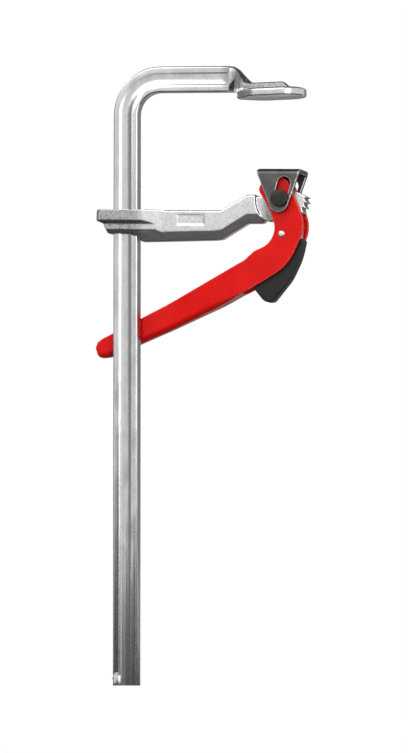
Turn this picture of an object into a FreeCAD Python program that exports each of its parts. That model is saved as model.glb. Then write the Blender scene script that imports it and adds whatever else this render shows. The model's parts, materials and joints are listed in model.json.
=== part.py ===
"""Quick release bar clamp: a bent rail with a fixed jaw, and a sliding arm whose lever lifts a pressure pad."""
import FreeCAD
import Part
import math
import os

doc = FreeCAD.newDocument("lever_bar_clamp")
sheet = doc.addObject("Spreadsheet::Sheet", "sizes")

# Driving dimensions, in millimetres and degrees
DRIVING = {
    # rail bar and its bend
    "bar_width": 22.0,
    "bar_depth": 10.5,
    "bar_edge_radius": 1.6,
    "groove_width": 11.0,
    "groove_deep": 1.5,
    "throat_reach": 131.0,
    "foot_drop": 496.0,
    "bend_radius": 29.5,
    "fixed_arm_rise": 19.3,
    "toe_in": 2.0,
    "neck_setback": 38.0,
    "stop_rise": 8.0,
    "stop_radius": 3.6,
    "stop_deep": 1.2,
    # fixed jaw
    "anvil_heel": 30.0,
    "anvil_toe": 28.0,
    "anvil_half_width": 18.0,
    "anvil_thick": 7.0,
    "anvil_rib_rise": 12.8,
    "anvil_rib_half": 5.0,
    # sliding arm
    "arm_drop": 101.0,
    "arm_sag": 2.3,
    "rail_slack": 0.75,
    "rail_side_slack": 0.25,
    "head_back": 24.8,
    "head_half_width": 12.0,
    "tier_half_width": 9.2,
    "collar_top": 9.4,
    "tier_drop": 11.2,
    "arm_half_width": 8.0,
    "arm_bottom": 16.6,
    "arm_edge_chamfer": 8.0,
    "arm_edge_inset": 4.2,
    "step_setback": 52.5,
    "boss_setback": 30.5,
    "boss_top": 22.9,
    "lug_half_width": 6.2,
    "panel_length": 24.5,
    "panel_height": 9.2,
    "panel_deep": 0.5,
    # pivot and pad
    "pivot_reach": 139.5,
    "pivot_rise": 19.5,
    "pin_radius": 5.2,
    "pin_running_gap": 0.05,
    "pin_head_radius": 7.4,
    "pin_head_thick": 3.0,
    "slot_half_width": 5.7,
    "slot_travel": 12.8,
    "lift_slant": 14.0,
    "pad_sheet": 4.0,
    "pad_length": 37.0,
    "pad_offset": 1.9,
    "pad_inner_half": 9.7,
    "pad_top_rise": 25.1,
    "ear_drop": 11.6,
    "ear_round": 8.4,
    "washer_radius": 8.0,
    "washer_thick": 1.2,
    "ring_thick": 1.0,
    # lever, its cam and its ratchet
    "cheek_sheet": 2.8,
    "cheek_gap": 0.2,
    "opening_angle": 62.5,
    "cam_rate": 7.0,
    "cam_gap": 1.8,
    "tail_offset": 15.5,
    "tail_half_width": 7.4,
    "tooth_count": 7,
    "tooth_pitch": 12.5,
    "first_tooth": 4.0,
    "crest_radius": 22.5,
    "tooth_deep": 3.8,
    "tooth_clearance": 0.35,
    "rivet_reach": 1.3,
    "rivet_drop": 29.6,
    "rivet_radius": 2.5,
    "pawl_half_width": 3.2,
    "pawl_boss_radius": 5.6,
    "trigger_half_width": 5.6,
    "spring_wire": 0.8,
}
for row, (alias, value) in enumerate(DRIVING.items(), start=1):
    sheet.set("A%d" % row, alias)
    sheet.set("B%d" % row, str(value))
    sheet.setAlias("B%d" % row, alias)
doc.recompute()


def size(alias):
    return float(sheet.get(alias))


def bind(feature, **expressions):
    """Ties properties of a feature to the sheet; a double underscore stands for a dot."""
    for name, expression in expressions.items():
        feature.setExpression(name.replace("__", "."), expression)


def rounded(points, closed=True):
    """Lines and arcs along an outline; a third number at a corner is its radius."""
    count = len(points)
    corners = []
    for index, point in enumerate(points):
        here = FreeCAD.Vector(point[0], point[1], 0)
        radius = point[2] if len(point) > 2 else 0.0
        if not closed and index in (0, count - 1):
            radius = 0.0
        before = FreeCAD.Vector(points[index - 1][0], points[index - 1][1], 0)
        following = points[(index + 1) % count]
        after = FreeCAD.Vector(following[0], following[1], 0)
        towards_before = (before - here).normalize()
        towards_after = (after - here).normalize()
        turn = towards_before.getAngle(towards_after)
        if radius <= 0.0 or abs(math.pi - turn) < 1e-4:
            corners.append((here, here, None))
            continue
        setback = radius / math.tan(turn / 2)
        start = here + towards_before * setback
        end = here + towards_after * setback
        centre = here + (towards_before + towards_after).normalize() * (radius / math.sin(turn / 2))
        middle = centre + (here - centre).normalize() * radius
        corners.append((start, end, middle))
    edges = []
    for index, (start, end, middle) in enumerate(corners):
        if middle is not None:
            edges.append(Part.Arc(start, middle, end))
        if not closed and index == count - 1:
            break
        upcoming = corners[(index + 1) % count][0]
        if (upcoming - end).Length > 1e-6:
            edges.append(Part.LineSegment(end, upcoming))
    return edges


def side_sketch(name, edges, depth=0.0):
    """A sketch in the side view, X to the right and Z up, at the given depth along Y."""
    sketch = doc.addObject("Sketcher::SketchObject", name)
    upright = FreeCAD.Rotation(FreeCAD.Vector(1, 0, 0), 90)
    sketch.Placement = FreeCAD.Placement(FreeCAD.Vector(0, depth, 0), upright)
    sketch.addGeometry(edges, False)
    return sketch


def plan_sketch(name, edges, height=0.0):
    """A sketch in the plan view, X to the right and Y away from the viewer, at the given height."""
    sketch = doc.addObject("Sketcher::SketchObject", name)
    sketch.Placement = FreeCAD.Placement(FreeCAD.Vector(0, 0, height), FreeCAD.Rotation())
    sketch.addGeometry(edges, False)
    return sketch


def end_sketch(name, edges, reach=0.0):
    """A sketch in the end view, Y to the right and Z up, at the given place along X."""
    sketch = doc.addObject("Sketcher::SketchObject", name)
    turn = FreeCAD.Rotation(FreeCAD.Vector(0, 1, 0), FreeCAD.Vector(0, 0, 1), FreeCAD.Vector(1, 0, 0), "ZXY")
    sketch.Placement = FreeCAD.Placement(FreeCAD.Vector(reach, 0, 0), turn)
    sketch.addGeometry(edges, False)
    return sketch


def pushed(name, sketch, length, direction):
    """A sketch pushed out to one side by a length given as an expression."""
    body = doc.addObject("Part::Extrusion", name)
    body.Base = sketch
    body.DirMode = "Custom"
    body.Dir = direction
    body.Solid = True
    bind(body, LengthFwd=length)
    return body


def slab(name, sketch, length, direction):
    """A sketch pushed out evenly to both sides; length is an expression of the whole width."""
    body = pushed(name, sketch, length, direction)
    body.Symmetric = True
    return body


def joined(name, *shapes):
    fuse = doc.addObject("Part::MultiFuse", name)
    fuse.Shapes = list(shapes)
    fuse.Refine = True
    return fuse


def shared(name, *shapes):
    common = doc.addObject("Part::MultiCommon", name)
    common.Shapes = list(shapes)
    return common


def cut(name, base, tool):
    result = doc.addObject("Part::Cut", name)
    result.Base = base
    result.Tool = tool
    result.Refine = True
    return result


def cross_cylinder(name, radius, length, reach, rise, depth="0"):
    """A round bar across the clamp, centred at the given depth; all sizes are expressions."""
    bar = doc.addObject("Part::Cylinder", name)
    bar.Placement.Rotation = FreeCAD.Rotation(FreeCAD.Vector(1, 0, 0), 90)
    bind(bar, Radius=radius, Height=length, Placement__Base__x=reach, Placement__Base__z=rise,
         Placement__Base__y="(%s) + (%s) / 2" % (depth, length))
    return bar


ALONG_X = FreeCAD.Vector(1, 0, 0)
ALONG_Y = FreeCAD.Vector(0, 1, 0)
ALONG_Z = FreeCAD.Vector(0, 0, 1)
nodes = {}


def node(label, feature, on_arm=False):
    """Names a finished sub-part; what rides on the sliding arm hangs with it at its small sag."""
    feature.Label = label
    if on_arm:
        feature.Placement.Rotation = FreeCAD.Rotation(FreeCAD.Vector(0, 1, 0), 1)
        bind(feature, Placement__Base__x="-sizes.throat_reach", Placement__Base__z="-sizes.arm_drop",
             Placement__Rotation__Angle="sizes.arm_sag")
    nodes[label] = feature


# Rail: one profiled bar, bent over at the top, with a forged jaw at its end
bar_half = size("bar_width") / 2
depth_half = size("bar_depth") / 2
edge = size("bar_edge_radius")
groove = size("groove_width") / 2
deep = size("groove_deep")
foot = -size("foot_drop")
rail_x = -size("throat_reach")
bend_x = rail_x + size("bend_radius")
bend_z = size("fixed_arm_rise") - size("bend_radius")
toe = math.radians(size("toe_in"))


def bar_section():
    """The rail's section: rounded edges, flat lands and a shallow hollow down each broad face."""
    edges = []
    for side in (-1, 1):
        face = side * depth_half
        corner = side * bar_half
        inner = side * (bar_half - edge)
        diagonal = edge * (1 - math.sqrt(0.5))
        points = [FreeCAD.Vector(-inner, face, 0), FreeCAD.Vector(-side * groove, face, 0),
                  FreeCAD.Vector(0, face - side * deep, 0), FreeCAD.Vector(side * groove, face, 0),
                  FreeCAD.Vector(inner, face, 0),
                  FreeCAD.Vector(corner - side * diagonal, face - side * diagonal, 0),
                  FreeCAD.Vector(corner, face - side * edge, 0), FreeCAD.Vector(corner, side * edge - face, 0),
                  FreeCAD.Vector(corner - side * diagonal, side * diagonal - face, 0),
                  FreeCAD.Vector(inner, -face, 0)]
        edges.append(Part.LineSegment(points[0], points[1]))
        edges.append(Part.Arc(points[1], points[2], points[3]))
        edges.append(Part.LineSegment(points[3], points[4]))
        edges.append(Part.Arc(points[4], points[5], points[6]))
        edges.append(Part.LineSegment(points[6], points[7]))
        edges.append(Part.Arc(points[7], points[8], points[9]))
    return edges


def section_at(name, reach, rise, turn):
    """The bar's section, set across the bar at a place on its path, turned by degrees from upright."""
    sketch = plan_sketch(name, bar_section())
    turned_by = FreeCAD.Rotation(FreeCAD.Vector(0, 1, 0), turn)
    sketch.Placement = FreeCAD.Placement(FreeCAD.Vector(reach, 0, rise), turned_by)
    return sketch


leg = pushed("rail_leg", section_at("leg_section", rail_x, foot, 0),
             "sizes.foot_drop + sizes.fixed_arm_rise - sizes.bend_radius", ALONG_Z)
elbow = doc.addObject("Part::Revolution", "rail_elbow")
elbow.Source = section_at("elbow_section", rail_x, bend_z, 0)
elbow.Axis = ALONG_Y
elbow.Base = FreeCAD.Vector(bend_x, 0, bend_z)
elbow.Solid = True
bind(elbow, Angle="90 + sizes.toe_in")
arm_start_x = bend_x + size("bend_radius") * math.sin(toe)
arm_start_z = bend_z + size("bend_radius") * math.cos(toe)
neck_x = -size("neck_setback")
arm_run = (neck_x - arm_start_x) / math.cos(toe)
arm_end_z = arm_start_z - arm_run * math.sin(toe)
top_arm = pushed("rail_top_arm", section_at("top_arm_section", arm_start_x, arm_start_z, 90 + size("toe_in")),
                 "%.6f" % arm_run, FreeCAD.Vector(math.cos(toe), 0, -math.sin(toe)))

heel = -size("anvil_heel")
nose = size("anvil_toe")
thick = size("anvil_thick")
rib_top = size("anvil_rib_rise")
rib_half = size("anvil_rib_half")
neck_top = arm_end_z + bar_half
neck_low = arm_end_z - bar_half
rib_base = thick / 2
rib_shoulder = 0.8
rib_crown = rib_half - rib_shoulder


def rib_section(place, reach, half, base, flank_top, crown_half, crown):
    """One cross-section of the forged neck and rib: upright flanks, sloped shoulders and a flat crown."""
    outline = [(-half, base), (half, base), (half, flank_top), (crown_half, crown), (-crown_half, crown),
               (-half, flank_top)]
    return end_sketch("rib_section_%d" % place, rounded(outline), reach)


mid_neck = (neck_top + rib_top) / 2
rib_stations = [
    (neck_x - 9.0, depth_half - deep - 0.2, neck_low + 3, neck_top - 4, depth_half - edge - 2, neck_top - 3),
    (neck_x - 0.5, depth_half - 0.1, neck_low + 0.2, neck_top - edge, depth_half - edge, neck_top - 0.1),
    (neck_x + 4.0, depth_half - 0.1, neck_low + 0.2, neck_top - edge - 0.6, depth_half - edge - 0.3, neck_top - 0.7),
    (heel, depth_half - 0.1, rib_base, mid_neck + 1.8, rib_half / 2, mid_neck + 4.2),
    (heel + 5.0, rib_half, rib_base, rib_top + 0.2, rib_half / 2, mid_neck - 1.5),
    (heel + 10.5, rib_half, rib_base, rib_top - rib_shoulder, rib_crown - 0.5, rib_top + 0.5),
    (heel + 14.0, rib_half, rib_base, rib_top - rib_shoulder, rib_crown, rib_top),
    (nose - 19.0, rib_half, rib_base, rib_top - rib_shoulder, rib_crown, rib_top),
    (nose - 13.7, rib_half, rib_base, thick + 0.6, rib_crown, thick + 1.4),
    (nose - 10.0, rib_half, rib_base, thick - 1.4, rib_crown, thick - 0.6)]
rib = doc.addObject("Part::Loft", "jaw_rib")
rib.Sections = [rib_section(place, *station) for place, station in enumerate(rib_stations)]
rib.Solid = True
rib.Ruled = True

jaw_wide = size("anvil_half_width")
heel_round = 14.0
toe_round = jaw_wide - 0.5
jaw_plan = rounded([
    (heel - 2, -rib_half, 6), (heel + 15, -jaw_wide, heel_round), (nose, -jaw_wide, toe_round),
    (nose, jaw_wide, toe_round), (heel + 15, jaw_wide, heel_round), (heel - 2, rib_half, 6)])
plate = pushed("jaw_plate", plan_sketch("jaw_outline", jaw_plan), "sizes.anvil_thick", ALONG_Z)
doc.recompute()


def rim_lines(shape, on_face):
    """The outline edges of the jaw plate's face, or of its back."""
    flat = [(number, line) for number, line in enumerate(shape.Edges, start=1) if line.BoundBox.ZLength < 0.01]
    return [number for number, line in flat if (line.CenterOfMass.z < thick / 2) == on_face]


back_edge = 2.4
face_edge = 0.8
rounded_back = doc.addObject("Part::Fillet", "jaw_back_edge")
rounded_back.Base = plate
rounded_back.Edges = [(number, back_edge, back_edge) for number in rim_lines(plate.Shape, False)]
doc.recompute()
rim = doc.addObject("Part::Chamfer", "jaw_face_edge")
rim.Base = rounded_back
rim.Edges = [(number, face_edge, face_edge) for number in rim_lines(rounded_back.Shape, True)
             if rounded_back.Shape.Edges[number - 1].CenterOfMass.z < 0.01]

# Foot stop: a punch mark in the near corner whose raised burr keeps the arm from sliding off
stop_z = foot + size("stop_rise")
mark_r = size("stop_radius")
mark_x = rail_x - bar_half + mark_r
mark_edges = [
    Part.LineSegment(FreeCAD.Vector(mark_x - mark_r, stop_z, 0), FreeCAD.Vector(mark_x + mark_r, stop_z, 0)),
    Part.Arc(FreeCAD.Vector(mark_x + mark_r, stop_z, 0), FreeCAD.Vector(mark_x, stop_z + mark_r, 0),
             FreeCAD.Vector(mark_x - mark_r, stop_z, 0))]
mark = slab("stop_mark", side_sketch("stop_mark_outline", mark_edges, -depth_half), "sizes.stop_deep * 2", ALONG_Y)
burr_deep = -depth_half + edge + size("stop_deep")
burr_out = 0.9
burr_outline = rounded([(rail_x - bar_half + 1, stop_z), (rail_x - bar_half - burr_out, stop_z - 0.3, 0.3),
                        (rail_x - bar_half - burr_out, stop_z - 1.6, 0.4), (rail_x - bar_half, stop_z - 3.4),
                        (rail_x - bar_half + 1, stop_z - 3.4)])
burr = slab("stop_burr", side_sketch("stop_burr_outline", burr_outline, burr_deep), "sizes.stop_deep * 2", ALONG_Y)
bar_and_jaw = joined("rail_forging", leg, elbow, top_arm, rib, rim, burr)
node("rail", cut("rail_marked", bar_and_jaw, mark))

# Sliding arm: a forging that hangs on the rail; drawn square to itself, then hung at its sag
half = size("arm_half_width")
collar = size("collar_top")
pivot_x = size("pivot_reach")
pivot_z = size("pivot_rise")
crest = size("crest_radius")
root = crest - size("tooth_deep")
low = -size("arm_bottom")
step = pivot_x - size("step_setback")
boss = pivot_x - size("boss_setback")
boss_top = size("boss_top")
boss_low = -1.1
boss_end = boss + 15
head_half = size("head_half_width")
taper_end = bar_half + 27
body_start = bar_half + 4.5


def arm_outline(raised, eased):
    """The arm's side outline, its underside raised and its top eased down, as the forging's faces slope."""
    return rounded([
        (body_start, low - 1.0 + raised, 3), (step - 6, low + 1.0 + raised), (step, low + 1.8 + raised, 4),
        (boss, boss_low + raised, 4), (boss_end, boss_low + raised, 3), (boss_end, boss_top - eased, 3),
        (boss, boss_top - eased, 4), (step - 1, collar - eased, 5), (0, collar - eased), (0, raised / 2 - 7)])


inset = size("arm_edge_inset")
bevel_rise = size("arm_edge_chamfer")
ease = 1.0
part_way = bevel_rise * (1 - ease / inset)
arm_stations = [(-half, bevel_rise, ease), (ease - half, part_way, 0), (inset - half, 0, 0),
                (half - inset, 0, 0), (half - ease, part_way, 0), (half, bevel_rise, ease)]
beam = doc.addObject("Part::Loft", "arm_beam")
beam.Sections = [side_sketch("arm_section_%d" % place, arm_outline(raised, eased), depth)
                 for place, (depth, raised, eased) in enumerate(arm_stations)]
beam.Solid = True
beam.Ruled = True

# The arm's head: a broad collar round the rail, a sloped ledge and a narrower tier below it
back = -size("head_back")
tier_low = -size("tier_drop")
tier_half = size("tier_half_width")
ledge = tier_half - head_half
tier_bevel = low + bevel_rise + 1.5
tier_bottom_half = half - inset - 0.4
collar_plan = rounded([
    (back, -head_half, 3.5), (bar_half + 6, -head_half, 4), (taper_end, 1 - half), (taper_end, half - 1),
    (bar_half + 6, head_half, 4), (back, head_half, 3.5)])
head_side = rounded([
    (back, collar, 1.5), (back, -0.5, 2), (back + 6.3, -2.8, 2), (back + 10, tier_low, 2),
    (bar_half - 6, tier_low, 4), (body_start, low - 0.6, 3), (taper_end, low + 0.4), (taper_end, collar)])
head_end = rounded([
    (-head_half, collar + 1), (-head_half, 0.3, 1), (-tier_half, ledge, 1), (-tier_half, tier_bevel, 1),
    (-tier_bottom_half, low - 1), (tier_bottom_half, low - 1), (tier_half, tier_bevel, 1),
    (tier_half, ledge, 1), (head_half, 0.3, 1), (head_half, collar + 1)])
head_block = shared("arm_head",
                    slab("head_plan", plan_sketch("head_plan_outline", collar_plan), "sizes.arm_bottom * 5", ALONG_Z),
                    slab("head_side", side_sketch("head_side_outline", head_side), "sizes.head_half_width * 3", ALONG_Y),
                    slab("head_end", end_sketch("head_end_outline", head_end), "sizes.head_back * 5", ALONG_X))


# Toothed lug: the plate between the lever's cheeks, with saw teeth round the pivot
def about_pivot(radius, degrees):
    turn = math.radians(degrees)
    return (pivot_x + radius * math.cos(turn), pivot_z + radius * math.sin(turn))


def from_pivot(points):
    """Outline corners given across and up from the pivot; a corner's radius stays as it is."""
    return [(pivot_x + point[0], pivot_z + point[1]) + tuple(point[2:]) for point in points]


first_tooth = size("first_tooth")
tooth_count = int(size("tooth_count"))
tooth_angles = [first_tooth - size("tooth_pitch") * index for index in range(tooth_count)]
lug_back = pivot_x - 13.5
lug_top = boss_top - 1.5
lug_low = boss_low + 1.6
lug_outline = [(boss + 6.5, lug_low + 7), (lug_back, lug_low, 6), (pivot_x - 4, pivot_z - root * 0.93)]
for tooth_angle in reversed(tooth_angles):
    lug_outline.append(about_pivot(root, tooth_angle - 0.3))
    lug_outline.append(about_pivot(crest, tooth_angle))
lug_outline += [about_pivot(root * 0.86, first_tooth + 14), about_pivot(root * 0.615, 48) + (5,),
                (pivot_x - 2, pivot_z + 8.9, 6), (lug_back, lug_top, 6), (boss + 6.5, lug_top)]
lug = slab("toothed_lug", side_sketch("lug_outline", rounded(lug_outline)), "sizes.lug_half_width * 2", ALONG_Y)

lever_sweep = cross_cylinder("lever_sweep", "sizes.crest_radius + 0.9", "sizes.head_half_width * 5",
                             "sizes.pivot_reach", "sizes.pivot_rise")
arm_outer = cut("arm_beside_lever", joined("arm_and_head", beam, head_block), lever_sweep)
arm_solid = joined("arm_solid", arm_outer, lug)
rail_slot = doc.addObject("Part::Box", "rail_slot")
bind(rail_slot, Length="sizes.bar_width + sizes.rail_slack * 2",
     Width="sizes.bar_depth + sizes.rail_side_slack * 2", Height="sizes.arm_bottom * 5",
     Placement__Base__x="-(sizes.bar_width / 2 + sizes.rail_slack)",
     Placement__Base__y="-(sizes.bar_depth / 2 + sizes.rail_side_slack)",
     Placement__Base__z="-sizes.arm_bottom * 2.5")
pivot_bore = cross_cylinder("pivot_bore", "sizes.pin_radius + sizes.pin_running_gap", "sizes.head_half_width * 5",
                            "sizes.pivot_reach", "sizes.pivot_rise")
panel_left = step - 39.7
panel_low = low + bevel_rise + 5.3
panel_round = 1.6
panel_outline = rounded([
    (panel_left, panel_low, panel_round), (panel_left + size("panel_length"), panel_low, panel_round),
    (panel_left + size("panel_length"), panel_low + size("panel_height"), panel_round),
    (panel_left, panel_low + size("panel_height"), panel_round)])
panel = slab("bare_panel", side_sketch("panel_outline", panel_outline, -half), "sizes.panel_deep * 2", ALONG_Y)
arm_slotted = cut("arm_slotted", arm_solid, rail_slot)
arm_panelled = cut("arm_panelled", arm_slotted, panel)
node("sliding_arm", cut("arm_bored", arm_panelled, pivot_bore), on_arm=True)


def turned(name, profile, reach, rise):
    """A turned piece on a cross axis: its profile is radius and depth, its place is two expressions."""
    sketch = plan_sketch(name + "_profile", rounded(profile))
    bind(sketch, Placement__Base__x=reach, Placement__Base__z=rise)
    piece = doc.addObject("Part::Revolution", name)
    piece.Source = sketch
    piece.Axis = ALONG_Y
    piece.Angle = 360
    piece.Solid = True
    bind(piece, Base__x=reach, Base__z=rise)
    return piece


# Pivot pin, its washer and retaining ring
AT_PIVOT = ("sizes.pivot_reach", "sizes.pivot_rise")
pad_half = size("pad_inner_half") + size("pad_sheet")
pin_r = size("pin_radius")
head_r = size("pin_head_radius")
head_thick = size("pin_head_thick")
seat_gap = 0.2
washer_at = pad_half + seat_gap
washer_end = washer_at + size("washer_thick")
ring_at = washer_end + 0.1
ring_end = ring_at + size("ring_thick")
ring_clear = 0.05
pin_groove = pin_r - 0.8
head_chamfer = 0.7
pin_end = ring_end + 2.0
pin_profile = [
    (0, -pad_half - seat_gap - head_thick), (head_r - head_chamfer, -pad_half - seat_gap - head_thick),
    (head_r, -pad_half - seat_gap - head_thick + head_chamfer), (head_r, -pad_half - seat_gap),
    (pin_r, -pad_half - seat_gap), (pin_r, ring_at - ring_clear), (pin_groove, ring_at - ring_clear),
    (pin_groove, ring_end + ring_clear), (pin_r, ring_end + ring_clear), (pin_r, pin_end), (0, pin_end)]
node("pivot_pin", turned("headed_pin", pin_profile, *AT_PIVOT), on_arm=True)


def ring_profile(inner, outer, start, end):
    return [(inner, start), (outer, start), (outer, end), (inner, end)]


washer_profile = ring_profile(pin_r + size("pin_running_gap"), size("washer_radius"), washer_at, washer_end)
node("pin_washer", turned("washer", washer_profile, *AT_PIVOT), on_arm=True)
circlip_profile = ring_profile(pin_groove + ring_clear, pin_r + 1.4, ring_at, ring_end)
node("retaining_ring", turned("circlip", circlip_profile, *AT_PIVOT), on_arm=True)

# Pressure pad: heavy sheet bent to a bridge, with a slanted slot in each ear
slant = math.radians(size("lift_slant"))
pad_top = pivot_z + size("pad_top_rise")
pad_left = pivot_x - size("pad_length") / 2 - size("pad_offset")
pad_right = pad_left + size("pad_length")
sheet_t = size("pad_sheet")
inner = size("pad_inner_half")
ear_round = size("ear_round")
flank_top = pad_top - 2.4
flank_left = pad_left - 1.3
flank_right = pad_right - 0.4
ear_point_drop = size("ear_drop") + ear_round * 1.862
ear_side = rounded([
    (pad_left, pad_top, 2.0), (flank_left, flank_top, 1.5), (pivot_x + 0.2, pivot_z - ear_point_drop, ear_round),
    (flank_right, flank_top, 0.5), (pad_right, pad_top, 0.6)])
bridge_low = pivot_z - ear_point_drop
bridge_section = rounded([
    (-pad_half, bridge_low), (-inner, bridge_low), (-inner, pad_top - sheet_t, 1.2), (inner, pad_top - sheet_t, 1.2),
    (inner, bridge_low), (pad_half, bridge_low), (pad_half, pad_top, 4.6), (-pad_half, pad_top, 4.6)])
bridge = slab("pad_bridge", end_sketch("pad_section", bridge_section, pivot_x), "sizes.pad_length * 2", ALONG_X)
ears = slab("pad_ears", side_sketch("ear_outline", ear_side), "sizes.pad_inner_half * 6", ALONG_Y)
pad_blank = shared("pad_blank", bridge, ears)
slot_r = size("slot_half_width")
along = FreeCAD.Vector(math.sin(slant), math.cos(slant), 0)
across = FreeCAD.Vector(math.cos(slant), -math.sin(slant), 0)
slot_low = FreeCAD.Vector(pivot_x, pivot_z, 0)
slot_high = slot_low + along * size("slot_travel")
slot_edges = [
    Part.Arc(slot_low - across * slot_r, slot_low - along * slot_r, slot_low + across * slot_r),
    Part.LineSegment(slot_low + across * slot_r, slot_high + across * slot_r),
    Part.Arc(slot_high + across * slot_r, slot_high + along * slot_r, slot_high - across * slot_r),
    Part.LineSegment(slot_high - across * slot_r, slot_low - across * slot_r)]
pad_slot = slab("pad_slot", side_sketch("slot_outline", slot_edges), "sizes.pad_inner_half * 6", ALONG_Y)
node("pressure_pad", cut("pad_slotted", pad_blank, pad_slot), on_arm=True)

# Lever: a pressed channel; its head is two cheeks whose upper edge is the cam
opening = math.radians(size("opening_angle"))
cam_rate = size("cam_rate")
cam_height = size("pad_top_rise") - sheet_t - size("cam_gap")
cam_overrun = 1.12


def cam_point(turn):
    """Point of the cheek's cam edge that meets the pad after the lever has turned by this angle."""
    height = cam_height - cam_rate * turn
    sideways = FreeCAD.Vector(-cam_rate, height, 0)
    back_turned = FreeCAD.Rotation(FreeCAD.Vector(0, 0, 1), -math.degrees(turn)).multVec(sideways)
    return FreeCAD.Vector(pivot_x, pivot_z, 0) + back_turned


cam_steps = 5
cam_curve = Part.BSplineCurve()
cam_curve.interpolate([cam_point(opening * cam_overrun * part / cam_steps) for part in range(cam_steps, -1, -1)])
apex = cam_point(0)
cam_end = cam_point(opening * cam_overrun)
heel_low = (-14.2, -70.4)
tail_bend = (-50.5, -89.9)
tail_low = (-154.5, -135.1)
head_back_curve = [(22.6, -22.9, 26), (7.6, -56.5, 40), heel_low + (60,)]
tail_curve = [tail_bend + (150,), tail_low + (5,), (-164.5, -136.3, 5), (-168.7, -125.5, 5), (-161.0, -119.8, 6)]
neck_curve = [(-31.0, -52.3, 14), (-22.0, -44.2, 8), (-0.8, -34.9, 18), (-9.2, -10.5, 30), (-21.3, 8.2, 6),
              (-14.5, 17.3, 8)]
lever_outline = [(cam_end.x, cam_end.y)] + from_pivot(head_back_curve + tail_curve + neck_curve)
lever_outline += [(apex.x, apex.y)]
lever_edges = [cam_curve] + rounded(lever_outline, closed=False)
lever_side = slab("lever_side", side_sketch("lever_outline", lever_edges), "sizes.tail_offset * 6", ALONG_Y)
tail_offset = size("tail_offset")
tail_half = size("tail_half_width")
wall = size("cheek_sheet")
cheek_inner = size("lug_half_width") + size("cheek_gap")
cheek_outer = cheek_inner + wall


def channel_plan(half_head, half_tail, tip):
    """Plan of the channel: straight at the head, then bent aside so that the tail clears the rail."""
    return rounded(
        [(pivot_x + 35.5, -half_head), (pivot_x + 35.5, half_head), (pivot_x - 27.5, half_head, 60),
         (pivot_x - 99.5, tail_offset + half_tail - 1.5, 60), (tip, tail_offset + half_tail),
         (tip, tail_offset - half_tail), (pivot_x - 99.5, tail_offset - half_tail - 1.5, 60),
         (pivot_x - 33.5, -half_head, 60)])


tip_x = pivot_x - 179.5
outer_plan = slab("lever_outer_plan", plan_sketch("lever_plan", channel_plan(cheek_outer, tail_half, tip_x)),
                  "sizes.rivet_drop * 14", ALONG_Z)
hollow_tip = pivot_x + tail_low[0] - 11
inner_plan = slab("lever_inner_plan",
                  plan_sketch("lever_hollow_plan", channel_plan(cheek_inner, tail_half - wall, hollow_tip)),
                  "sizes.rivet_drop * 14", ALONG_Z)
web_slope = math.atan2(tail_bend[1] - tail_low[1], tail_bend[0] - tail_low[0])
web_in = -math.sin(web_slope) * wall
web_up = math.cos(web_slope) * wall
web_end = (-33.5, -80.4 + wall)
hollow_side = rounded(from_pivot([
    (50, 50), (-80, 50), (-200, -40), (tail_low[0] - 10, tail_low[1] + 7.6, 3),
    (tail_low[0] + web_in, tail_low[1] + web_up, 3), (tail_bend[0] + web_in, tail_bend[1] + web_up), web_end,
    (-30.5, -94.5), (50, -94.5)]))
hollow = shared("lever_hollow", inner_plan,
                slab("hollow_side", side_sketch("hollow_outline", hollow_side), "sizes.tail_offset * 6", ALONG_Y))
lever_blank = cut("lever_channel", shared("lever_bent", lever_side, outer_plan), hollow)
lever_pin_bore = cross_cylinder("lever_pin_bore", "sizes.pin_radius + sizes.pin_running_gap",
                                "sizes.tail_offset * 4", *AT_PIVOT)
AT_RIVET = ("sizes.pivot_reach + sizes.rivet_reach", "sizes.pivot_rise - sizes.rivet_drop")
rivet_bore = cross_cylinder("rivet_bore", "sizes.rivet_radius", "sizes.tail_offset * 4", *AT_RIVET)
node("lever", cut("lever_bored", cut("lever_pinned", lever_blank, lever_pin_bore), rivet_bore), on_arm=True)

# Rivet that carries the pawl between the cheeks
rivet_x = pivot_x + size("rivet_reach")
rivet_z = pivot_z - size("rivet_drop")
rivet_r = size("rivet_radius")
rivet_head = rivet_r + 0.5
rivet_out = cheek_outer + 0.9
rivet_profile = [
    (0, -rivet_out), (rivet_r - 0.5, -rivet_out), (rivet_head, -cheek_outer), (rivet_r, -cheek_outer),
    (rivet_r, cheek_outer), (rivet_head, cheek_outer), (rivet_r - 0.5, rivet_out), (0, rivet_out)]
node("pawl_rivet", turned("rivet", rivet_profile, *AT_RIVET), on_arm=True)

# Pawl: a hardened hook on the rivet; its nose drops between the saw teeth
nose_angle = tooth_angles[4]
nose_crest = crest + size("tooth_clearance")
boss_r = size("pawl_boss_radius")
pawl_outline = rounded([
    about_pivot(nose_crest, nose_angle - 2.6), about_pivot(nose_crest + 4.2, nose_angle - 2.6) + (1.5,)]
    + from_pivot([(17.5, -29.0, 8), (15.5, -41.0, 12), (9.5, -52.5, 8), (0.5, -65.0, 1.5), (-3.2, -62.0, 1.5),
                  (4.0, -50.5, 8), (3.5, -39.5, 5)])
    + [(rivet_x - boss_r, rivet_z - boss_r, 5), (rivet_x - boss_r, rivet_z + boss_r - 0.6, 5),
       (rivet_x + 5, rivet_z + boss_r - 0.6, 2), about_pivot(nose_crest + 3.4, nose_angle - 12.5)])
pawl_plate = slab("pawl_plate", side_sketch("pawl_outline", pawl_outline), "sizes.pawl_half_width * 2", ALONG_Y)
pawl_bore = cross_cylinder("pawl_bore", "sizes.rivet_radius + sizes.pin_running_gap", "sizes.tail_offset * 4",
                           *AT_RIVET)
node("pawl", cut("pawl_bored", pawl_plate, pawl_bore), on_arm=True)

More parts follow.
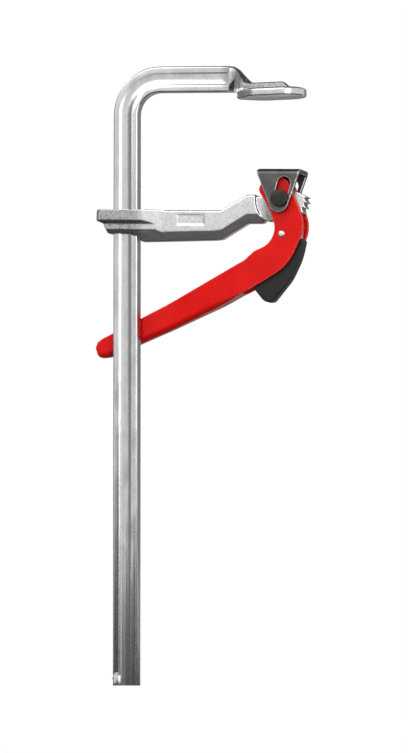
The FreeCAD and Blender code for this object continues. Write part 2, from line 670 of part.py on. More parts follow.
# Trigger: a black moulding on the pawl's lower end, between the cheeks
trigger_outline = rounded(from_pivot([
    (20.3, -35.0, 3), (17.6, -50.0, 60), (9.5, -68.0, 40), (-5.4, -87.0, 4), (-12.5, -87.4, 8),
    (-25.2, -73.0, 3), (-3.5, -61.0, 40), (8.0, -49.5, 40), (17.2, -31.8, 2)]))
trigger_block = slab("trigger_block", side_sketch("trigger_outline", trigger_outline),
                     "sizes.trigger_half_width * 2", ALONG_Y)
pawl_seat = slab("pawl_seat", side_sketch("pawl_seat_outline", pawl_outline), "sizes.pawl_half_width * 2", ALONG_Y)
node("trigger", cut("trigger_moulding", trigger_block, pawl_seat), on_arm=True)

# Pawl spring: a small torsion spring round the rivet, beside the pawl
wire_r = size("spring_wire") / 2
coil_r = rivet_r + wire_r + 0.9
coil_pitch = size("spring_wire") + 0.04
coil_rise = coil_pitch * 2
start = FreeCAD.Vector(coil_r, 0, 0)
finish = FreeCAD.Vector(coil_r, 0, coil_rise)
lead = FreeCAD.Vector(0, 1, coil_pitch / (2 * math.pi * coil_r)).normalize()
long_leg = 9
short_leg = 5
helix = Part.makeHelix(coil_pitch, coil_rise, coil_r)
spring_path = Part.Wire([Part.makeLine(start - lead * long_leg, start)] + helix.Edges
                        + [Part.makeLine(finish, finish + lead * short_leg)])
wire_corners = []
for corner in range(4):
    turn = math.radians(90 * corner)
    wire_corners.append(start - lead * long_leg + FreeCAD.Vector(math.cos(turn), 0, math.sin(turn)) * wire_r)
wire_end = Part.makePolygon(wire_corners + wire_corners[:1])
spring = doc.addObject("Part::Feature", "torsion_spring")
spring.Shape = spring_path.makePipeShell([wire_end], True, True)
spring.Placement = FreeCAD.Placement(FreeCAD.Vector(rivet_x, cheek_inner - wire_r - 0.37, rivet_z),
                                     FreeCAD.Rotation(FreeCAD.Vector(1, 0, 0), 90))
hung = doc.addObject("Part::Compound", "hung_spring")
hung.Links = [spring]
node("pawl_spring", hung, on_arm=True)

doc.recompute()
for item in doc.Objects:
    if "Invalid" in item.State or "Error" in item.State:
        raise RuntimeError("failed: %s %s" % (item.Label, item.State))
os.makedirs("parts", exist_ok=True)
for label, feature in nodes.items():
    if feature.Shape.isNull() or not feature.Shape.isValid():
        raise RuntimeError("bad shape: %s" % label)
    feature.Shape.exportStep("parts/%s.step" % label)
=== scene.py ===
"""Looks of a lever bar clamp: plated rail and forgings, red pressed lever, black trigger, pale floor."""
import bpy
import bmesh
import json
import math
from mathutils import Matrix, Vector, noise


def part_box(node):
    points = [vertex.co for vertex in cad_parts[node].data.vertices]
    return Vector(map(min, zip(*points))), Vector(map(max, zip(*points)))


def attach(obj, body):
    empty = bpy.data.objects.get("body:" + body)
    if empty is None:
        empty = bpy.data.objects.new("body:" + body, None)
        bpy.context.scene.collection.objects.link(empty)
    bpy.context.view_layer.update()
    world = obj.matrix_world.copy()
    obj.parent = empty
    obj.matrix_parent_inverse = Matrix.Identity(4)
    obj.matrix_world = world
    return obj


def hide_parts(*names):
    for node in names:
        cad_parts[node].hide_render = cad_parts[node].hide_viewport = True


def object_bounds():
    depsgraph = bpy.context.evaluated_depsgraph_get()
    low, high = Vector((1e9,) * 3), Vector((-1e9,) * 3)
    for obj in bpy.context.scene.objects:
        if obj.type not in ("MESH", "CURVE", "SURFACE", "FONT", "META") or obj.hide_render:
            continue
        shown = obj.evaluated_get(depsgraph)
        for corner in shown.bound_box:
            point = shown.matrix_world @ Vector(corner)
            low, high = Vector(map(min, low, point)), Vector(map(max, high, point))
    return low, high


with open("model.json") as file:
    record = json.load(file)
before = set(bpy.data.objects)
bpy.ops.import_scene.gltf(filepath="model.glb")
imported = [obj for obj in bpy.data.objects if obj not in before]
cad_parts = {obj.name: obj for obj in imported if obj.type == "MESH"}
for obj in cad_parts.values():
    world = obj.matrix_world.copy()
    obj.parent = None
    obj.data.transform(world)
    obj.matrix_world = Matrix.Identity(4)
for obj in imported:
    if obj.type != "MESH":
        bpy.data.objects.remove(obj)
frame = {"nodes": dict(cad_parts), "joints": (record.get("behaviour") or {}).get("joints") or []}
cad_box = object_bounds()
nodes = frame["nodes"]


# Rail: one drawn steel bar with a hollow down each broad face, bent cold at the top and
# forged out at its end into the fixed jaw. It is zinc plated all over, and its edges are
# only lightly broken, so the lands stay crisp beside the soft hollows.
def merged_shape(node):
    """A solid's surface with its loose triangles joined and its flat faces made whole."""
    joined_within = 2e-6
    flat_within = math.radians(0.6)
    shape = bmesh.new()
    shape.from_mesh(nodes[node].data)
    bmesh.ops.remove_doubles(shape, verts=shape.verts, dist=joined_within)
    bmesh.ops.dissolve_limit(shape, angle_limit=flat_within, verts=shape.verts, edges=shape.edges)
    return shape


def set_out(shape, name):
    """Puts a shape into the scene as a named piece."""
    data = bpy.data.meshes.new(name)
    shape.to_mesh(data)
    shape.free()
    piece = bpy.data.objects.new(name, data)
    bpy.context.scene.collection.objects.link(piece)
    return piece


def break_edges(piece, radius, keep_apart=True):
    """Adds a small round along each cut edge."""
    cut_edge = math.radians(26.0)
    round_over = piece.modifiers.new("broken_edges", "BEVEL")
    round_over.width = radius
    round_over.segments = 3
    round_over.limit_method = "ANGLE"
    round_over.angle_limit = cut_edge
    round_over.use_clamp_overlap = keep_apart
    round_over.harden_normals = keep_apart


def tumble(piece, grit, passes):
    """Wears all edges down evenly, as barrel tumbling does: a fine new skin, then smoothed."""
    skin = piece.modifiers.new("new_skin", "REMESH")
    skin.mode = "VOXEL"
    skin.voxel_size = grit
    soften = piece.modifiers.new("softened", "SMOOTH")
    soften.factor = 0.5
    soften.iterations = passes


def settle_mesh(piece):
    """Turns a piece's modifiers into its mesh, shaded smooth."""
    view = bpy.context.evaluated_depsgraph_get()
    made = bpy.data.meshes.new_from_object(piece.evaluated_get(view))
    piece.modifiers.clear()
    piece.data = made
    for face in piece.data.polygons:
        face.use_smooth = True


def finish_mesh(piece, node):
    """Settles a piece's mesh and lets it stand for its solid."""
    settle_mesh(piece)
    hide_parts(node)


def finish_of(name, colour, metal, rough):
    """A named finish with its shader, ready for its grain, relief and colour nodes."""
    finish = bpy.data.materials.new(name)
    finish.use_nodes = True
    shader = finish.node_tree.nodes["Principled BSDF"]
    shader.inputs["Base Color"].default_value = (*colour, 1.0)
    shader.inputs["Metallic"].default_value = metal
    shader.inputs["Roughness"].default_value = rough
    return finish, finish.node_tree.nodes, finish.node_tree.links, shader


def grain(tree, links, size_mm, stretch=(1.0, 1.0, 1.0), detail=4.0, rough=0.55):
    """Noise with spots of the given size, stretched along one way, on the object's own coordinates."""
    place = tree.new("ShaderNodeTexCoord")
    turn = tree.new("ShaderNodeMapping")
    turn.inputs["Scale"].default_value = stretch
    spots = tree.new("ShaderNodeTexNoise")
    spots.inputs["Scale"].default_value = 1000.0 / size_mm
    spots.inputs["Detail"].default_value = detail
    spots.inputs["Roughness"].default_value = rough
    links.new(place.outputs["Object"], turn.inputs["Vector"])
    links.new(turn.outputs["Vector"], spots.inputs["Vector"])
    return spots.outputs["Fac"]


noise_low = 0.35
noise_high = 0.65


def spread(tree, links, source, low, high, start=noise_low, end=noise_high):
    """Maps a value to a range of values."""
    ramp = tree.new("ShaderNodeMapRange")
    ramp.inputs["From Min"].default_value = start
    ramp.inputs["From Max"].default_value = end
    ramp.inputs["To Min"].default_value = low
    ramp.inputs["To Max"].default_value = high
    links.new(source, ramp.inputs["Value"])
    return ramp.outputs["Result"]


def tinted(tree, links, source, dark, light):
    """Maps the middle range of a noise to colours between two."""
    ramp = tree.new("ShaderNodeValToRGB")
    ramp.color_ramp.elements[0].position = noise_low
    ramp.color_ramp.elements[0].color = (*dark, 1.0)
    ramp.color_ramp.elements[1].position = noise_high
    ramp.color_ramp.elements[1].color = (*light, 1.0)
    links.new(source, ramp.inputs["Fac"])
    return ramp.outputs["Color"]


def overlaid(tree, links, share, under, over):
    """Mixes a second colour over a first by a share."""
    mix = tree.new("ShaderNodeMix")
    mix.data_type = "RGBA"
    links.new(share, mix.inputs["Factor"])
    for socket, colour in ((mix.inputs["A"], under), (mix.inputs["B"], over)):
        if isinstance(colour, tuple):
            socket.default_value = (*colour, 1.0)
        else:
            links.new(colour, socket)
    return mix.outputs["Result"]


def raised(tree, links, source, shader, height_mm, over=None):
    """Turns a value into relief of the given height, over an earlier relief if there is one."""
    relief = tree.new("ShaderNodeBump")
    relief.inputs["Distance"].default_value = height_mm / 1000.0
    relief.inputs["Strength"].default_value = 1.0
    links.new(source, relief.inputs["Height"])
    if over is not None:
        links.new(over, relief.inputs["Normal"])
    links.new(relief.outputs["Normal"], shader.inputs["Normal"])
    return relief.outputs["Normal"]


def reckoned(tree, links, operation, first, second=None):
    """Works one sum on values that are numbers or come from other nodes."""
    step = tree.new("ShaderNodeMath")
    step.operation = operation
    for socket, value in zip(step.inputs, (first, second)):
        if isinstance(value, float):
            socket.default_value = value
        elif value is not None:
            links.new(value, socket)
    return step.outputs["Value"]


def along(tree, links, way, start, end):
    """Share that grows along one way of the clamp, from one place to another, in metres."""
    place = tree.new("ShaderNodeTexCoord")
    ways = tree.new("ShaderNodeSeparateXYZ")
    links.new(place.outputs["Object"], ways.inputs["Vector"])
    return spread(tree, links, ways.outputs[way], low=0.0, high=1.0, start=start, end=end)


zinc_dull = (0.46, 0.46, 0.47)
zinc_light = (0.6, 0.6, 0.6)
jaw_top_dark = (0.1, 0.1, 0.1)
jaw_top_light = (0.22, 0.22, 0.22)
plated, tree, links, shader = finish_of("plated_rail", colour=(0.6, 0.6, 0.61), metal=1.0, rough=0.24)
streaks = grain(tree, links, size_mm=1.4, stretch=(1.0, 1.0, 0.025))
mottle = grain(tree, links, size_mm=9.0, stretch=(1.0, 1.0, 0.4), detail=6.0)
pits = grain(tree, links, size_mm=1.6, stretch=(1.0, 1.0, 0.6), detail=3.0)
on_jaw = along(tree, links, "X", start=-0.046, end=-0.03)
on_top = along(tree, links, "Z", start=0.0076, end=0.0088)
jaw_top = reckoned(tree, links, "MULTIPLY", on_jaw, on_top)
rolled = tinted(tree, links, mottle, zinc_dull, zinc_light)
# The jaw's top is coloured darker.
jaw_top_tone = tinted(tree, links, pits, jaw_top_dark, jaw_top_light)
links.new(overlaid(tree, links, jaw_top, rolled, jaw_top_tone), shader.inputs["Base Color"])
links.new(spread(tree, links, mottle, low=0.3, high=0.2), shader.inputs["Roughness"])
pitted = raised(tree, links, pits, shader, height_mm=0.02)
raised(tree, links, streaks, shader, height_mm=0.012, over=pitted)
rail = set_out(merged_shape("rail"), "rail_bar")
break_edges(rail, radius=0.0005)
finish_mesh(rail, "rail")
rail.data.materials.append(plated)
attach(rail, "frame")


# Sliding arm: a drop forging, slotted over the rail, with drafted flanks and soft edges. The
# plating follows the forged skin, which is struck smooth along the reach and darker round the
# slot; the lug behind its bright teeth is darkened as painted shade from the lever's cheeks.
def edge_wear_and_highlight(tree, links, start, end):
    """Share of wear and painted highlight along outer edges, broken up by a fine noise."""
    shape = tree.new("ShaderNodeNewGeometry")
    edge = spread(tree, links, shape.outputs["Pointiness"], low=0.0, high=1.0, start=start, end=end)
    patchy = spread(tree, links, grain(tree, links, size_mm=2.5), low=0.35, high=1.0)
    return reckoned(tree, links, "MULTIPLY", edge, patchy)


def hollow_shade_and_oxide(tree, links, reach):
    """Share of a surface's inner corners and recesses, darkened there as painted shade together with
    oxidation.
    """
    opened = tree.new("ShaderNodeAmbientOcclusion")
    opened.samples = 6
    opened.only_local = True
    opened.inputs["Distance"].default_value = reach
    return spread(tree, links, opened.outputs["AO"], low=0.85, high=0.0, start=0.45, end=0.95)


shade_and_oxide_dark = (0.06, 0.06, 0.06)
scraped_and_highlight = (0.7, 0.7, 0.69)
forged, tree, links, shader = finish_of("forged_arm", colour=(0.6, 0.6, 0.6), metal=1.0, rough=0.3)
skin = grain(tree, links, size_mm=2.4, detail=8.0, rough=0.7)
scale = grain(tree, links, size_mm=7.0, detail=3.0)
struck = tinted(tree, links, skin, (0.44, 0.44, 0.44), (0.66, 0.66, 0.65))
darker_round_slot = tinted(tree, links, skin, (0.16, 0.16, 0.16), (0.5, 0.5, 0.49))
shaded = tinted(tree, links, skin, (0.1, 0.1, 0.098), (0.3, 0.3, 0.29))
on_collar = along(tree, links, "X", start=-0.112, end=-0.122)
lug_shadow_share = along(tree, links, "X", start=-0.011, end=-0.004)
on_teeth = along(tree, links, "X", start=0.012, end=0.018)
# Darker round the slot than along the reach.
metal = overlaid(tree, links, on_collar, struck, darker_round_slot)
# Painted shade: the lug between the lever's cheeks is darkened where their shadow falls.
metal = overlaid(tree, links, lug_shadow_share, metal, shaded)
metal = overlaid(tree, links, on_teeth, metal, struck)
# Painted shade with oxidation: occluded corners and recesses are darkened.
metal = overlaid(tree, links, hollow_shade_and_oxide(tree, links, reach=0.004), metal, shade_and_oxide_dark)
# Paler edges: partly scrapes in the plating, partly a painted highlight.
metal = overlaid(tree, links, edge_wear_and_highlight(tree, links, start=0.505, end=0.55), metal, scraped_and_highlight)
links.new(metal, shader.inputs["Base Color"])
links.new(spread(tree, links, skin, low=0.38, high=0.26), shader.inputs["Roughness"])
scaly = raised(tree, links, scale, shader, height_mm=0.08)
raised(tree, links, skin, shader, height_mm=0.05, over=scaly)
arm = set_out(merged_shape("sliding_arm"), "arm_forging")
tumble(arm, grit=0.0006, passes=3)
finish_mesh(arm, "sliding_arm")
waviness = 0.00006
waves_per_metre = 140.0
outward = [point.normal.copy() for point in arm.data.vertices]
for point, out in zip(arm.data.vertices, outward):
    point.co = point.co + out * waviness * noise.noise(point.co * waves_per_metre)
arm.data.materials.append(forged)
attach(arm, "slider")

# Lever: red powder coat over pressed sheet, slightly orange-peeled, with a painted highlight along its
# cut edges.
# The channel's back is drawn deeper towards the tip, so its lower corners are rounder there.
coat_dark = (0.62, 0.003, 0.0015)
coat_light = (0.72, 0.0038, 0.0018)
painted_edge_highlight = (0.9, 0.12, 0.08)
coat, tree, links, shader = finish_of("red_coat", colour=(0.8, 0.004, 0.002), metal=0.0, rough=0.3)
shader.inputs["Specular IOR Level"].default_value = 0.2
peel = grain(tree, links, size_mm=1.6, detail=2.0)
cloud = grain(tree, links, size_mm=30.0, detail=3.0)
paint = tinted(tree, links, cloud, coat_dark, coat_light)
# Painted highlight: the cut edges are lightened to a pale pink.
paint = overlaid(tree, links, edge_wear_and_highlight(tree, links, start=0.51, end=0.56), paint, painted_edge_highlight)
links.new(paint, shader.inputs["Base Color"])
links.new(spread(tree, links, cloud, low=0.24, high=0.3), shader.inputs["Roughness"])
raised(tree, links, peel, shader, height_mm=0.012)

pivot = sum((Vector(corner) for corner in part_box("pivot_pin")), Vector()) / 2
round_start = pivot.x - 0.034
round_full = pivot.x - 0.062
corner_round = 0.005
faces_aside = 0.7
faces_straight = 0.3
faces_down = -0.35
faces_left = -0.6
corner_turn = 0.9
shape = merged_shape("lever")
shape.normal_update()
depth = shape.edges.layers.float.new("bevel_weight_edge")
for edge in shape.edges:
    if len(edge.link_faces) != 2:
        continue
    side, back = sorted(edge.link_faces, key=lambda face: -abs(face.normal.y))
    middle = (edge.verts[0].co + edge.verts[1].co) / 2
    outer = abs(side.normal.y) > faces_aside and abs(back.normal.y) < faces_straight
    below = back.normal.z < faces_down or back.normal.x < faces_left
    if outer and below and edge.calc_face_angle(0.0) > corner_turn and edge.is_convex:
        share = (round_start - middle.x) / (round_start - round_full)
        edge[depth] = min(1.0, max(0.0, share))
lever = set_out(shape, "lever_channel")
rounding = lever.modifiers.new("back_corners", "BEVEL")
rounding.width = corner_round
rounding.segments = 6
rounding.limit_method = "WEIGHT"
rounding.use_clamp_overlap = False
tumble(lever, grit=0.00065, passes=3)
finish_mesh(lever, "lever")
lever.data.materials.append(coat)
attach(lever, "lever")

# Pressure pad: heavy sheet, blanked, slotted and bent to a bridge, then plated dull grey.
# Its blanked edges are lightened: partly scraped bright, partly a painted highlight.
plate_dark = (0.07, 0.07, 0.067)
plate_light = (0.1, 0.1, 0.096)
blanked_and_highlight = (0.62, 0.62, 0.6)
dull, tree, links, shader = finish_of("pad_plate", colour=(0.15, 0.15, 0.145), metal=1.0, rough=0.36)
rolled = grain(tree, links, size_mm=1.8, stretch=(0.15, 1.0, 1.0), detail=6.0)
cloud = grain(tree, links, size_mm=12.0)
plate = tinted(tree, links, cloud, plate_dark, plate_light)
# Edges lightened as scrapes and as a painted highlight.
plate = overlaid(tree, links, edge_wear_and_highlight(tree, links, start=0.505, end=0.53), plate, blanked_and_highlight)
links.new(plate, shader.inputs["Base Color"])
links.new(spread(tree, links, rolled, low=0.32, high=0.42), shader.inputs["Roughness"])
raised(tree, links, rolled, shader, height_mm=0.015)
pad = set_out(merged_shape("pressure_pad"), "pad_bridge")
tumble(pad, grit=0.0004, passes=3)
finish_mesh(pad, "pressure_pad")
pad.data.materials.append(dull)
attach(pad, "pad")

# Pivot pin with its washer and retaining ring, rivet and pawl: the pin and ring are
# blackened, and the washer, rivet and hardened pawl are bright zinc.
oil_black = (0.016, 0.0148, 0.0135)
worn_black = (0.032, 0.03, 0.027)
black, tree, links, shader = finish_of("blackened_steel", colour=(0.03, 0.028, 0.026),
                                       metal=0.6, rough=0.42)
scuff = grain(tree, links, size_mm=2.0)
links.new(tinted(tree, links, scuff, oil_black, worn_black), shader.inputs["Base Color"])
links.new(spread(tree, links, scuff, low=0.36, high=0.5), shader.inputs["Roughness"])
raised(tree, links, scuff, shader, height_mm=0.01)

spangle_dark = (0.55, 0.55, 0.54)
spangle_light = (0.7, 0.7, 0.7)
bright, tree, links, shader = finish_of("bright_zinc", colour=(0.66, 0.66, 0.66), metal=1.0, rough=0.26)
spangle = grain(tree, links, size_mm=1.2)
links.new(tinted(tree, links, spangle, spangle_dark, spangle_light), shader.inputs["Base Color"])
links.new(spread(tree, links, spangle, low=0.2, high=0.34), shader.inputs["Roughness"])
raised(tree, links, spangle, shader, height_mm=0.01)

for node, name, radius, finish, slot, carrier in [
        ("pivot_pin", "pin_headed", 0.0004, black, "black_steel", "pin"),
        ("pin_washer", "pin_washer_bright", 0.0002, bright, "bright_steel", "pin"),
        ("retaining_ring", "pin_ring", 0.0002, black, "black_steel", "pin"),
        ("pawl_rivet", "rivet_bright", 0.0002, bright, "bright_steel", "lever"),
        ("pawl", "pawl_hook", 0.0003, bright, "bright_steel", "pawl")]:
    piece = set_out(merged_shape(node), name)
    break_edges(piece, radius)
    finish_mesh(piece, node)
    piece.data.materials.append(finish)
    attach(piece, carrier)

# Pawl spring: two turns of round wire on the rivet beside the pawl, with one leg down the
# pawl's back and one up behind the cheek. Its wire follows a rule, so nodes wind it.
spring_sizes = {
    "wire": 0.0008,
    "turns": 2.0,
    "coil_radius": 0.0038,
    "coil_rise": 0.00168,
    "down_leg": 0.009,
    "up_leg": 0.005,
}
points_along = 120
points_round = 12


def wound_spring(finish):
    """A node tree that winds a wire of given sizes: a straight leg, some turns, a second leg."""
    winding = bpy.data.node_groups.new("wound_spring", "GeometryNodeTree")
    winding.interface.new_socket("Geometry", in_out="INPUT", socket_type="NodeSocketGeometry")
    for label, size in spring_sizes.items():
        socket = winding.interface.new_socket(label, in_out="INPUT", socket_type="NodeSocketFloat")
        socket.default_value = size
    winding.interface.new_socket("Geometry", in_out="OUTPUT", socket_type="NodeSocketGeometry")
    made, links = winding.nodes, winding.links
    given = made.new("NodeGroupInput").outputs
    result = made.new("NodeGroupOutput").inputs["Geometry"]

    def worked(operation, first, second=None):
        return reckoned(made, links, operation, first, second)

    turned = worked("MULTIPLY", given["turns"], 2.0 * math.pi)
    coil_length = worked("MULTIPLY", turned, given["coil_radius"])
    whole = worked("ADD", worked("ADD", given["down_leg"], coil_length), given["up_leg"])
    line = made.new("GeometryNodeMeshLine")
    line.inputs["Count"].default_value = points_along
    thread = made.new("GeometryNodeMeshToCurve")
    links.new(line.outputs["Mesh"], thread.inputs["Mesh"])
    share = made.new("GeometryNodeSplineParameter").outputs["Factor"]
    run = worked("SUBTRACT", worked("MULTIPLY", share, whole), given["down_leg"])
    on_coil = worked("MINIMUM", worked("MAXIMUM", run, 0.0), coil_length)
    beyond = worked("SUBTRACT", run, on_coil)
    angle = worked("DIVIDE", on_coil, given["coil_radius"])
    cosine = worked("COSINE", angle)
    sine = worked("SINE", angle)
    across = worked("SUBTRACT", worked("MULTIPLY", cosine, given["coil_radius"]),
                    worked("MULTIPLY", sine, beyond))
    upward = worked("ADD", worked("MULTIPLY", sine, given["coil_radius"]),
                    worked("MULTIPLY", cosine, beyond))
    sideways = worked("MULTIPLY", worked("DIVIDE", run, coil_length), given["coil_rise"])
    place = made.new("ShaderNodeCombineXYZ")
    for way, distance in (("X", across), ("Y", upward), ("Z", sideways)):
        links.new(distance, place.inputs[way])
    bent = made.new("GeometryNodeSetPosition")
    links.new(thread.outputs["Curve"], bent.inputs["Geometry"])
    links.new(place.outputs["Vector"], bent.inputs["Position"])
    section = made.new("GeometryNodeCurvePrimitiveCircle")
    section.inputs["Resolution"].default_value = points_round
    links.new(worked("MULTIPLY", given["wire"], 0.5), section.inputs["Radius"])
    drawn = made.new("GeometryNodeCurveToMesh")
    drawn.inputs["Fill Caps"].default_value = True
    links.new(bent.outputs["Geometry"], drawn.inputs["Curve"])
    links.new(section.outputs["Curve"], drawn.inputs["Profile Curve"])
    real = made.new("GeometryNodeRealizeInstances")
    links.new(drawn.outputs["Mesh"], real.inputs["Geometry"])
    painted = made.new("GeometryNodeSetMaterial")
    painted.inputs["Material"].default_value = finish
    links.new(real.outputs["Geometry"], painted.inputs["Geometry"])
    links.new(painted.outputs["Geometry"], result)
    return winding


coil = bpy.data.objects.new("pawl_spring_wire", bpy.data.meshes.new("pawl_spring_wire"))
bpy.context.scene.collection.objects.link(coil)
winder = coil.modifiers.new("wound_spring", "NODES")
winder.node_group = wound_spring(bright)
for socket in winder.node_group.interface.items_tree:
    if socket.in_out == "INPUT" and socket.socket_type == "NodeSocketFloat":
        winder[socket.identifier] = socket.default_value
settle_mesh(coil)
rivet_middle = sum((Vector(corner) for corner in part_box("pawl_rivet")), Vector()) / 2
coil_side = 0.00563
arm_sag = math.radians(2.3)
seat = (Matrix.Translation((rivet_middle.x, coil_side, rivet_middle.z))
        @ Matrix.Rotation(arm_sag, 4, "Y") @ Matrix.Rotation(math.radians(90.0), 4, "X"))
coil.data.transform(seat)
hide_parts("pawl_spring")
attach(coil, "lever")

# Trigger: black moulding on the pawl's lower end, satin from the tool, with soft edges that are rubbed
# a little paler and lightened further as a painted highlight.
moulding_dark = (0.008, 0.0075, 0.007)
moulding_light = (0.015, 0.014, 0.013)
rubbed_and_highlight = (0.05, 0.048, 0.046)
moulded, tree, links, shader = finish_of("black_moulding", colour=(0.028, 0.026, 0.025),
                                         metal=0.0, rough=0.42)
shader.inputs["Specular IOR Level"].default_value = 0.25
spark = grain(tree, links, size_mm=0.9)
cloud = grain(tree, links, size_mm=14.0)
resin = tinted(tree, links, cloud, moulding_dark, moulding_light)
# Edges paler: partly rubbed, partly a painted highlight.
resin = overlaid(tree, links, edge_wear_and_highlight(tree, links, start=0.51, end=0.56), resin, rubbed_and_highlight)
links.new(resin, shader.inputs["Base Color"])
links.new(spread(tree, links, cloud, low=0.36, high=0.46), shader.inputs["Roughness"])
raised(tree, links, spark, shader, height_mm=0.02)
trigger = set_out(merged_shape("trigger"), "trigger_moulding")
break_edges(trigger, radius=0.0012, keep_apart=False)
tumble(trigger, grit=0.0005, passes=4)
finish_mesh(trigger, "trigger")
trigger.data.materials.append(moulded)
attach(trigger, "pawl")


# Floor: wide and pale, just below the lowest place that the lever reaches when the arm is slid
# down to the foot. The camera and the metal see it as plain white paper, which far out runs
# into the white of the room, and from below it is clear, so that it hides nothing.
def ruled_sheet(name, rows, finish):
    """A sheet through rows of points."""
    sheet = bmesh.new()
    lines = [[sheet.verts.new(point) for point in row] for row in rows]
    for near, far in zip(lines, lines[1:]):
        for place in range(len(near) - 1):
            sheet.faces.new((near[place], near[place + 1], far[place + 1], far[place]))
    data = bpy.data.meshes.new(name)
    sheet.to_mesh(data)
    sheet.free()
    for face in data.polygons:
        face.use_smooth = True
    data.materials.append(finish)
    piece = bpy.data.objects.new(name, data)
    bpy.context.scene.collection.objects.link(piece)
    return piece


def mixed(tree, links, share, first, second):
    """Mixes two shaders by a share of the second."""
    blend = tree.new("ShaderNodeMixShader")
    links.new(share, blend.inputs["Fac"])
    links.new(first, blend.inputs[1])
    links.new(second, blend.inputs[2])
    return blend.outputs["Shader"]


def level_sheet(name, wide, deep, height, finish):
    """A flat level sheet between two places across and two places in depth."""
    return ruled_sheet(name, [[(x, y, height) for x in wide] for y in deep], finish)


arm_slide = next(joint for joint in frame["joints"] if joint["name"] == "arm_slide")
slide_down = -arm_slide["range_m"][0]
floor_gap = 0.004
floor_half = 8.0
floor_z = min(cad_box[0][2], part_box("lever")[0][2] - slide_down) - floor_gap
paper, tree, links, shader = finish_of("white_paper", colour=(0.22, 0.22, 0.22), metal=0.0, rough=0.9)
shader.inputs["Specular IOR Level"].default_value = 0.1
raised(tree, links, grain(tree, links, size_mm=3.0), shader, height_mm=0.02)
place = tree.new("ShaderNodeTexCoord")
far_out = tree.new("ShaderNodeVectorMath")
far_out.operation = "LENGTH"
links.new(place.outputs["Object"], far_out.inputs[0])
paper_white = spread(tree, links, far_out.outputs["Value"], low=0.96, high=1.0, start=1.0, end=1.8)
path = tree.new("ShaderNodeLightPath").outputs
direct = reckoned(tree, links, "MAXIMUM", path["Is Camera Ray"], path["Is Glossy Ray"])
shown = reckoned(tree, links, "MAXIMUM", direct, path["Is Transmission Ray"])
glow = tree.new("ShaderNodeEmission")
glow.inputs["Color"].default_value = (1.0, 1.0, 1.0, 1.0)
glow.inputs["Strength"].default_value = 1.0
clear = tree.new("ShaderNodeBsdfTransparent")
seen_below = tree.new("ShaderNodeNewGeometry")
above = mixed(tree, links, reckoned(tree, links, "MULTIPLY", shown, paper_white),
              shader.outputs["BSDF"], glow.outputs["Emission"])
surface = mixed(tree, links, seen_below.outputs["Backfacing"], above, clear.outputs["BSDF"])
links.new(surface, tree["Material Output"].inputs["Surface"])
level_sheet("floor", (-floor_half, floor_half), (-floor_half, floor_half), floor_z, paper)


# Studio flags: dark cloths hung round the clamp where only its gloss sees them. They give the
# steel its dark flanks, undersides and outlines, and shade nothing.
def flag_cloth(name, shade):
    """A cloth of an even grey."""
    cloth = bpy.data.materials.new(name)
    cloth.use_nodes = True
    made = cloth.node_tree.nodes
    made.remove(made["Principled BSDF"])
    grey = made.new("ShaderNodeEmission")
    grey.inputs["Color"].default_value = (shade, shade, shade, 1.0)
    cloth.node_tree.links.new(grey.outputs["Emission"], made["Material Output"].inputs["Surface"])
    return cloth


def only_in_gloss(flag):
    """Keeps a flag out of sight and out of the light, except in reflections."""
    flag.visible_camera = False
    flag.visible_diffuse = False
    flag.visible_transmission = False
    flag.visible_shadow = False


def hung_flag(name, distance, from_az, to_az, low, high, shade):
    """A cloth bent round the clamp, between two directions and two heights."""
    steps = 8
    turns_at = [math.radians(from_az + (to_az - from_az) * step / steps) for step in range(steps + 1)]
    ring = [(distance * math.sin(turn), -distance * math.cos(turn)) for turn in turns_at]
    rows = [[(x, y, height) for x, y in ring] for height in (low, high)]
    only_in_gloss(ruled_sheet(name, rows, flag_cloth(name, shade)))


def level_flag(name, wide, deep, height, shade):
    """A cloth spread level over or under the clamp."""
    only_in_gloss(level_sheet(name, wide, deep, height, flag_cloth(name, shade)))


hung_flag("left_flag", distance=1.2, from_az=-105.0, to_az=-46.0, low=floor_z, high=0.5, shade=0.36)
hung_flag("back_flag", distance=1.3, from_az=145.0, to_az=222.0, low=floor_z, high=0.9, shade=0.3)
level_flag("top_flag", wide=(-1.0, 1.0), deep=(-0.6, 1.3), height=0.9, shade=0.25)
level_flag("floor_flag", wide=(-1.1, 1.1), deep=(-0.75, 0.9), height=floor_z + 0.002, shade=0.1)

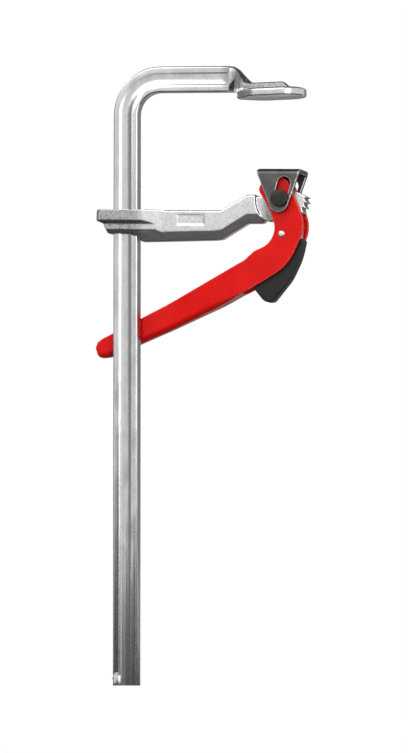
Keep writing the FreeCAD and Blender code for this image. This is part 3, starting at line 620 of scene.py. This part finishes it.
# Light: a white room, a tall soft lamp on the right that draws the bright line down the
# rail's hollow, a wide one high in front, one overhead, and a low one behind for the back.
room_light = 0.44
shown_light = 1.0
world = bpy.data.worlds.new("studio")
bpy.context.scene.world = world
world.use_nodes = True
room, links = world.node_tree.nodes, world.node_tree.links
sky = room["Background"]
sky.inputs["Color"].default_value = (1.0, 1.0, 1.0, 1.0)
path = room.new("ShaderNodeLightPath").outputs
shown = reckoned(room, links, "MAXIMUM", path["Is Camera Ray"], path["Is Glossy Ray"])
level = spread(room, links, shown, low=room_light, high=shown_light, start=0.0, end=1.0)
links.new(level, sky.inputs["Strength"])


def soft_lamp(name, place, size, watts, in_gloss=True):
    """A rectangular soft lamp turned to the middle of the clamp."""
    aim = Vector((-0.06, 0.0, -0.2))
    lamp = bpy.data.lights.new(name, "AREA")
    lamp.shape = "RECTANGLE"
    lamp.size, lamp.size_y = size
    lamp.energy = watts
    holder = bpy.data.objects.new(name, lamp)
    holder.location = place
    holder.rotation_euler = (aim - Vector(place)).to_track_quat("-Z", "Y").to_euler()
    holder.visible_camera = False
    holder.visible_glossy = in_gloss
    bpy.context.scene.collection.objects.link(holder)


soft_lamp("right_strip", place=(1.1, -1.7, 0.05), size=(0.9, 1.8), watts=18.0)
soft_lamp("high_front", place=(-0.7, -1.7, 1.15), size=(2.4, 1.3), watts=24.0)
soft_lamp("overhead", place=(0.0, -0.6, 1.5), size=(1.8, 1.0), watts=16.0, in_gloss=False)
soft_lamp("back_left", place=(-1.5, 1.5, 0.9), size=(1.4, 1.4), watts=12.0)

# Camera: low and to the right of the clamp's broad side, with a long lens, so that a narrow
# side of the rail and the undersides show a little.
image_high = 753.0
turned_right = math.radians(18.0)
looks_up = math.radians(3.862)
pixel_length = 4140.5
stands_at = (1.01808, -3.32427, -0.47103)
camera = bpy.data.cameras.new("view")
camera.sensor_width = 36.0
camera.lens = pixel_length / image_high * camera.sensor_width
camera.clip_start = 0.1
camera.clip_end = 30.0
eye = bpy.data.objects.new("view", camera)
eye.location = stands_at
eye.rotation_euler = (math.radians(90.0) + looks_up, 0.0, turned_right)
bpy.context.scene.collection.objects.link(eye)
bpy.context.scene.camera = eye
bpy.context.scene.view_settings.view_transform = "Standard"
